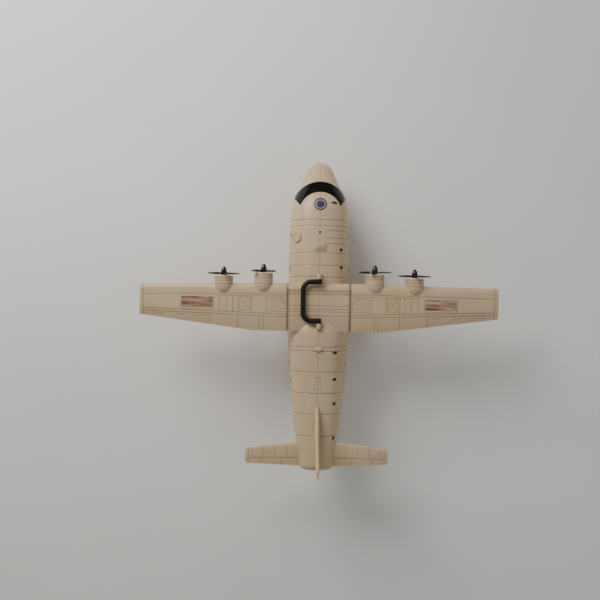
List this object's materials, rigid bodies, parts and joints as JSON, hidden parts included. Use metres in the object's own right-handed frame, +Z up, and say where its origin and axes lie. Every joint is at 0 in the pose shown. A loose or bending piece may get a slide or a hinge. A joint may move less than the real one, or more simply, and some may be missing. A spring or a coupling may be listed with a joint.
{
  "type": "toy airplane",
  "caption": "High-wing toy cargo airplane in sand plastic with spinning propellers, a folding carry handle, a rear cargo ramp, rolling wheels and a lift-off tail fin.",
  "frame": {"origin": "on the floor under the middle of the bounding box", "axes": "+Z up, +Y out of the nose, +X along the right wing"},
  "size_m": [0.72, 0.6307, 0.2616],
  "materials": {
    "sand_plastic": "semi-gloss moulded sand plastic",
    "black_handle": "satin black",
    "black_propeller": "glossy black",
    "windscreen_black": "high gloss black",
    "emblem_print": "printed label",
    "wing_print": "printed label",
    "wheel_black": "satin",
    "steel": "plated",
    "inner_black": "moulded",
    "board_green": "solder resist",
    "lamp_lens": "clear warm white"
  },
  "bodies": {
    "airframe": {"fuselage_left": "sand_plastic", "fuselage_right": "sand_plastic", "windscreen": "windscreen_black", "nose_emblem": "emblem_print", "top_hatch": "sand_plastic", "antenna_blister": "sand_plastic", "wing_left_top": "sand_plastic", "wing_left_bottom": "sand_plastic", "wing_right_top": "sand_plastic", "wing_right_bottom": "sand_plastic", "wing_left_decal": "wing_print", "wing_right_decal": "wing_print", "cowl_1": "sand_plastic", "cowl_2": "sand_plastic", "cowl_3": "sand_plastic", "cowl_4": "sand_plastic", "propeller_pins": "steel", "handle_bracket_front": "sand_plastic", "handle_bracket_rear": "sand_plastic", "button_guide": "inner_black", "circuit_board": "board_green", "speaker": "inner_black", "battery_box": "inner_black", "battery_door": "sand_plastic", "battery_cells": "steel", "cockpit_lamp": "lamp_lens", "ramp_hinge_pins": "steel", "ramp_hinge_blocks": "sand_plastic", "cargo_floor": "sand_plastic", "bulkhead": "sand_plastic", "nose_gear_leg": "sand_plastic", "sponson_left": "sand_plastic", "sponson_right": "sand_plastic", "main_wheel_pins": "steel", "fin_socket": "sand_plastic", "stabiliser_left": "sand_plastic", "stabiliser_right": "sand_plastic", "fuselage_screws": "steel", "wing_screws": "steel", "battery_door_screw": "steel"},
    "handle": {"carry_handle": "black_handle", "handle_pins": "steel"},
    "button": {"sound_button": "sand_plastic", "button_spring": "steel"},
    "ramp": {"cargo_ramp": "sand_plastic"},
    "nose_wheels": {"nose_wheel_left": "wheel_black", "nose_wheel_right": "wheel_black", "nose_axle": "steel"},
    "tail_fin": {"fin_left_half": "sand_plastic", "fin_right_half": "sand_plastic", "fin_decals": "emblem_print"},
    "propeller_1": {"propeller_1": "black_propeller"},
    "main_wheel_1": {"main_wheel_1": "wheel_black"},
    "propeller_2": {"propeller_2": "black_propeller"},
    "main_wheel_2": {"main_wheel_2": "wheel_black"},
    "propeller_3": {"propeller_3": "black_propeller"},
    "main_wheel_3": {"main_wheel_3": "wheel_black"},
    "propeller_4": {"propeller_4": "black_propeller"},
    "main_wheel_4": {"main_wheel_4": "wheel_black"}
  },
  "joints": [
    {"name": "handle_swing", "type": "hinge", "parent": "airframe", "child": "handle", "pos_m": [0, 0.03, 0.1524], "axis": [0, 1, 0], "range_deg": [0, 180]},
    {"name": "button_press", "type": "slide", "parent": "airframe", "child": "button", "axis": [0.7071, 0, -0.7071], "range_m": [0, 0.0025], "stiffness_N_per_m": 300, "deforming": ["button_spring"]},
    {"name": "ramp_hinge", "type": "hinge", "parent": "airframe", "child": "ramp", "pos_m": [0, -0.1405, 0.0266], "axis": [1, 0, 0], "range_deg": [0, 30]},
    {"name": "nose_wheel_spin", "type": "hinge", "parent": "airframe", "child": "nose_wheels", "pos_m": [0, 0.2155, 0.0095], "axis": [1, 0, 0], "continuous": true},
    {"name": "fin_lift", "type": "slide", "parent": "airframe", "child": "tail_fin", "axis": [0, 0, 1], "range_m": [0, 0.03]},
    {"name": "propeller_1_spin", "type": "hinge", "parent": "airframe", "child": "propeller_1", "pos_m": [-0.192, 0.07333, 0.133], "axis": [0, 1, 0], "continuous": true},
    {"name": "propeller_2_spin", "type": "hinge", "parent": "airframe", "child": "propeller_2", "pos_m": [-0.112, 0.07968, 0.133], "axis": [0, 1, 0], "continuous": true},
    {"name": "propeller_3_spin", "type": "hinge", "parent": "airframe", "child": "propeller_3", "pos_m": [0.112, 0.07968, 0.133], "axis": [0, 1, 0], "continuous": true},
    {"name": "propeller_4_spin", "type": "hinge", "parent": "airframe", "child": "propeller_4", "pos_m": [0.192, 0.07333, 0.133], "axis": [0, 1, 0], "continuous": true},
    {"name": "main_wheel_1_spin", "type": "hinge", "parent": "airframe", "child": "main_wheel_1", "pos_m": [-0.066, 0.0315, 0.013], "axis": [1, 0, 0], "continuous": true},
    {"name": "main_wheel_2_spin", "type": "hinge", "parent": "airframe", "child": "main_wheel_2", "pos_m": [0.066, 0.0315, 0.013], "axis": [1, 0, 0], "continuous": true},
    {"name": "main_wheel_3_spin", "type": "hinge", "parent": "airframe", "child": "main_wheel_3", "pos_m": [-0.066, -0.0125, 0.013], "axis": [1, 0, 0], "continuous": true},
    {"name": "main_wheel_4_spin", "type": "hinge", "parent": "airframe", "child": "main_wheel_4", "pos_m": [0.066, -0.0125, 0.013], "axis": [1, 0, 0], "continuous": true}
  ]
}
